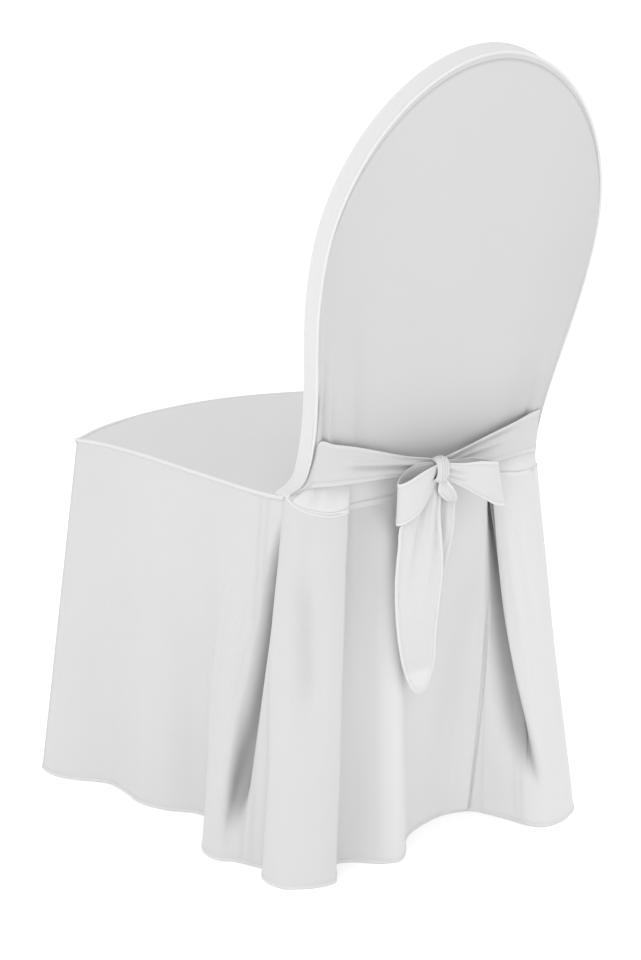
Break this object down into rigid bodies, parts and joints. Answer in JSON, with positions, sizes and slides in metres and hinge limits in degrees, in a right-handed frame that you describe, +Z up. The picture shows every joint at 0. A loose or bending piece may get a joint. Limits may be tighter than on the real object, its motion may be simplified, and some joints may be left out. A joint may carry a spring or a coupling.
{
  "type": "chair cover",
  "caption": "Fitted white cloth cover for a round-backed banquet chair, with a floor-length pleated skirt and a sash tied in a bow behind the waist.",
  "frame": {"origin": "under the middle of the back's crown, on the cloth's inner side, where the hollow cover hangs on what it is fitted over", "axes": "+Z up, +Y to the rear, where the bow is, +X to the left of someone sitting"},
  "size_m": [0.5445, 0.6511, 0.9776],
  "materials": {
    "cover_cloth": "smooth stretch polyester, faint sheen",
    "sash_cloth": "smooth stretch polyester, faint sheen"
  },
  "bodies": {
    "root": {"back_rear": "cover_cloth", "back_front": "cover_cloth", "back_boxing": "cover_cloth", "seat": "cover_cloth", "skirt_left": "cover_cloth", "skirt_front": "cover_cloth", "skirt_right": "cover_cloth", "skirt_rear": "cover_cloth", "sash_left": "sash_cloth", "sash_right": "sash_cloth", "bow_loop_left": "sash_cloth", "bow_loop_right": "sash_cloth", "bow_knot": "sash_cloth", "sash_tail_long": "sash_cloth", "sash_tail_short": "sash_cloth"}
  },
  "joints": []
}
